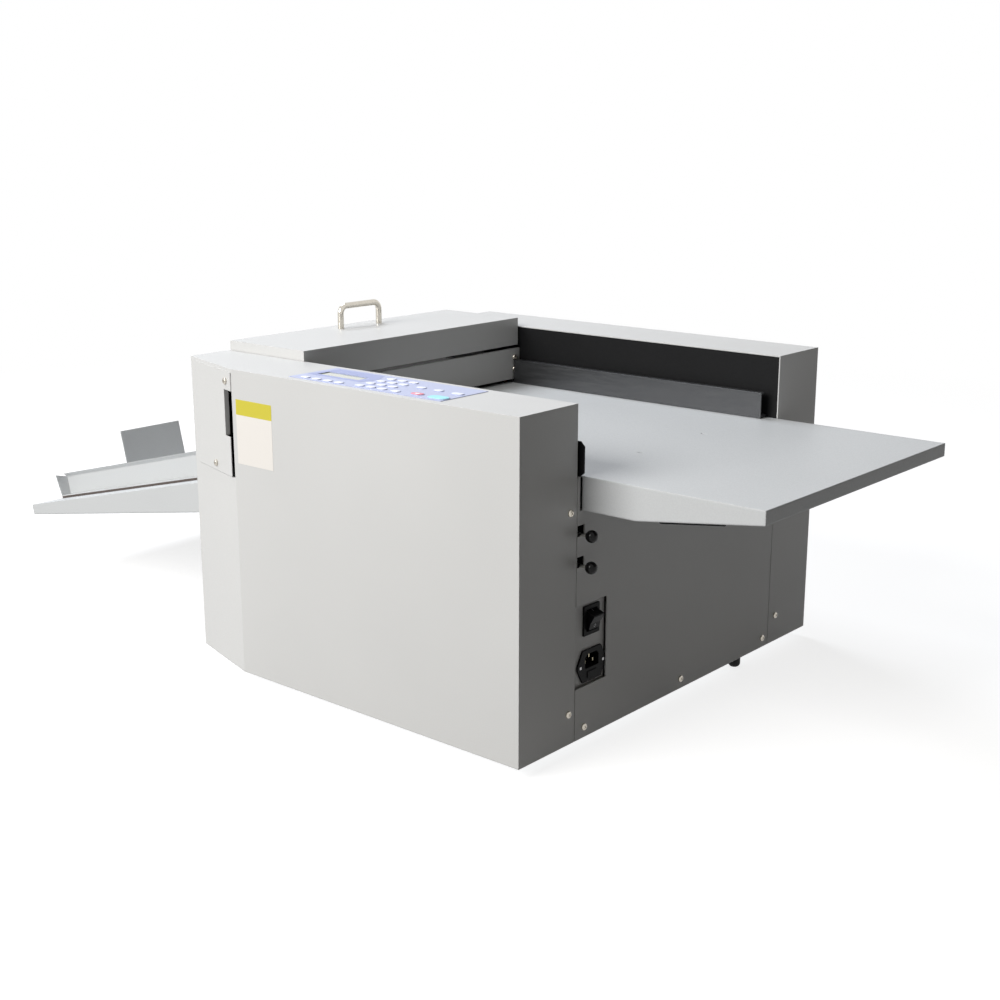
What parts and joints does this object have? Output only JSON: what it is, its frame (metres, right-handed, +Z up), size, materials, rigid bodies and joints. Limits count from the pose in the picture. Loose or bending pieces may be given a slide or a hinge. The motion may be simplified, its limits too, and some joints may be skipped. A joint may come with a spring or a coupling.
{
  "type": "paper creasing machine",
  "caption": "Desktop paper creasing machine with feed table, keypad housing, hinged cover over the creasing bay and sloping delivery tray.",
  "frame": {"origin": "middle of the whole footprint, on the plane the feet stand on", "axes": "+X from the delivery tray towards the feed table, against the paper's run; +Y from the operator's face to the rear face; +Z up"},
  "size_m": [1.244, 0.5888, 0.429],
  "materials": {
    "casing_paint": "semi-gloss light grey powder coat",
    "tray_paint": "satin light grey powder coat",
    "black_paint": "satin black coat",
    "dark_steel": "dark grey coat",
    "zinc_plate": "zinc plated",
    "bright_steel": "ground bright",
    "handle_chrome": "bright nickel plate",
    "screw_steel": "bright plated",
    "tool_steel": "hardened, ground",
    "machined_aluminium": "machined",
    "bush_bronze": "sintered bronze",
    "gear_nylon": "white nylon",
    "roller_rubber": "ground rubber",
    "belt_rubber": "moulded rubber",
    "foot_rubber": "moulded black rubber",
    "black_plastic": "moulded black plastic",
    "knob_plastic": "glossy black phenolic",
    "keypad_film": "printed polyester film",
    "display_glass": "dark green display",
    "board_green": "solder mask",
    "motor_black": "black lacquer"
  },
  "bodies": {
    "machine": {"base_plate": "zinc_plate", "front_housing": "casing_paint", "rear_housing": "casing_paint", "front_side_frame": "black_paint", "rear_side_frame": "black_paint", "feed_end_panel": "casing_paint", "delivery_end_panel": "casing_paint", "lower_feed_panel": "casing_paint", "facet_plate": "casing_paint", "keypad_membrane": "keypad_film", "display_module": "display_glass", "control_board": "board_green", "power_supply": "zinc_plate", "power_plate": "casing_paint", "inlet_socket": "black_plastic", "switch_body": "black_plastic", "lever_pivots": "bright_steel", "hinge_pins": "bright_steel", "feed_table": "tray_paint", "table_rails": "black_paint", "table_arms": "black_paint", "front_side_guide": "black_paint", "guide_bar": "bright_steel", "panel_brackets": "black_paint", "shaft_bushes": "bush_bronze", "drive_belt": "belt_rubber", "feed_motor": "motor_black", "crease_motor": "motor_black", "motor_bracket": "zinc_plate", "crease_anvil": "tool_steel", "delivery_tray": "tray_paint", "rubber_feet": "foot_rubber", "casing_screws": "screw_steel"},
    "cover": {"top_cover": "casing_paint", "cover_handle": "handle_chrome"},
    "power_rocker": {"switch_rocker": "knob_plastic"},
    "upper_setting": {"upper_lever": "bright_steel", "upper_knob": "knob_plastic"},
    "lower_setting": {"lower_lever": "bright_steel", "lower_knob": "knob_plastic"},
    "rear_guide": {"rear_side_guide": "dark_steel", "guide_carriage": "dark_steel"},
    "tray_side_guide": {"tray_guide": "tray_paint"},
    "tray_paper_stop": {"tray_stop": "tray_paint"},
    "feed_roller": {"feed_drive_shaft": "bright_steel", "feed_drive_sleeves": "roller_rubber", "feed_drive_gear": "gear_nylon", "feed_pulley": "machined_aluminium"},
    "feed_nip_roller": {"feed_pressure_roller": "bright_steel", "feed_pressure_gear": "gear_nylon"},
    "exit_roller": {"exit_drive_shaft": "bright_steel", "exit_drive_sleeves": "roller_rubber", "exit_pulley": "machined_aluminium"},
    "exit_nip_roller": {"exit_pressure_roller": "bright_steel"},
    "feed_rotor": {"motor_pulley": "machined_aluminium"},
    "crank": {"eccentric_shaft": "bright_steel", "crank_gear": "bright_steel"},
    "creaser": {"blade_beam": "machined_aluminium", "creasing_blade": "tool_steel"},
    "crease_rotor": {"crease_pinion": "bright_steel"}
  },
  "joints": [
    {"name": "cover_hinge", "type": "hinge", "parent": "machine", "child": "cover", "pos_m": [-0.014, 0, 0.365], "axis": [0, 1, 0], "range_deg": [0, 92]},
    {"name": "power_switch", "type": "hinge", "parent": "machine", "child": "power_rocker", "pos_m": [0.399, -0.17, 0.145], "axis": [0, 1, 0], "range_deg": [0, 24]},
    {"name": "upper_lever_turn", "type": "hinge", "parent": "machine", "child": "upper_setting", "pos_m": [0.365, -0.1935, 0.2448], "axis": [0, -1, 0], "range_deg": [0, 10]},
    {"name": "lower_lever_turn", "type": "hinge", "parent": "machine", "child": "lower_setting", "pos_m": [0.365, -0.1935, 0.2108], "axis": [0, -1, 0], "range_deg": [0, 10]},
    {"name": "rear_guide_slide", "type": "slide", "parent": "machine", "child": "rear_guide", "axis": [0, -1, 0], "range_m": [0, 0.15]},
    {"name": "tray_guide_slide", "type": "slide", "parent": "machine", "child": "tray_side_guide", "axis": [0, 1, 0], "range_m": [-0.04, 0.06]},
    {"name": "tray_stop_slide", "type": "slide", "parent": "machine", "child": "tray_paper_stop", "axis": [0.9711, 0, 0.2385], "range_m": [0, 0.25]},
    {"name": "feed_roller_spin", "type": "hinge", "parent": "machine", "child": "feed_roller", "pos_m": [-0.034, 0, 0.298], "axis": [0, 1, 0], "continuous": true},
    {"name": "feed_nip_spin", "type": "hinge", "parent": "machine", "child": "feed_nip_roller", "pos_m": [-0.034, 0, 0.3223], "axis": [0, 1, 0], "continuous": true},
    {"name": "exit_roller_spin", "type": "hinge", "parent": "machine", "child": "exit_roller", "pos_m": [-0.117, 0, 0.298], "axis": [0, 1, 0], "continuous": true},
    {"name": "exit_nip_spin", "type": "hinge", "parent": "machine", "child": "exit_nip_roller", "pos_m": [-0.117, 0, 0.3223], "axis": [0, 1, 0], "continuous": true},
    {"name": "feed_motor_spin", "type": "hinge", "parent": "machine", "child": "feed_rotor", "pos_m": [-0.0755, -0.214, 0.219], "axis": [0, 1, 0], "continuous": true},
    {"name": "crank_turn", "type": "hinge", "parent": "machine", "child": "crank", "pos_m": [-0.075, 0, 0.354], "axis": [0, 1, 0], "range_deg": [0, 180]},
    {"name": "crease_stroke", "type": "slide", "parent": "machine", "child": "creaser", "axis": [0, 0, 1], "range_m": [-0.0061, 0]},
    {"name": "crease_motor_spin", "type": "hinge", "parent": "machine", "child": "crease_rotor", "pos_m": [-0.06129, -0.234, 0.32709], "axis": [0, 1, 0], "range_deg": [-361, 0]}
  ],
  "couplings": [
    {"joint": "feed_nip_spin", "follows": "feed_roller_spin", "ratio": -1},
    {"joint": "exit_roller_spin", "follows": "feed_roller_spin", "ratio": 1},
    {"joint": "exit_nip_spin", "follows": "feed_roller_spin", "ratio": -1},
    {"joint": "feed_motor_spin", "follows": "feed_roller_spin", "ratio": 1.5},
    {"joint": "crease_stroke", "follows": "crank_turn", "m_per_rad": -0.0019099},
    {"joint": "crease_motor_spin", "follows": "crank_turn", "ratio": -2}
  ]
}
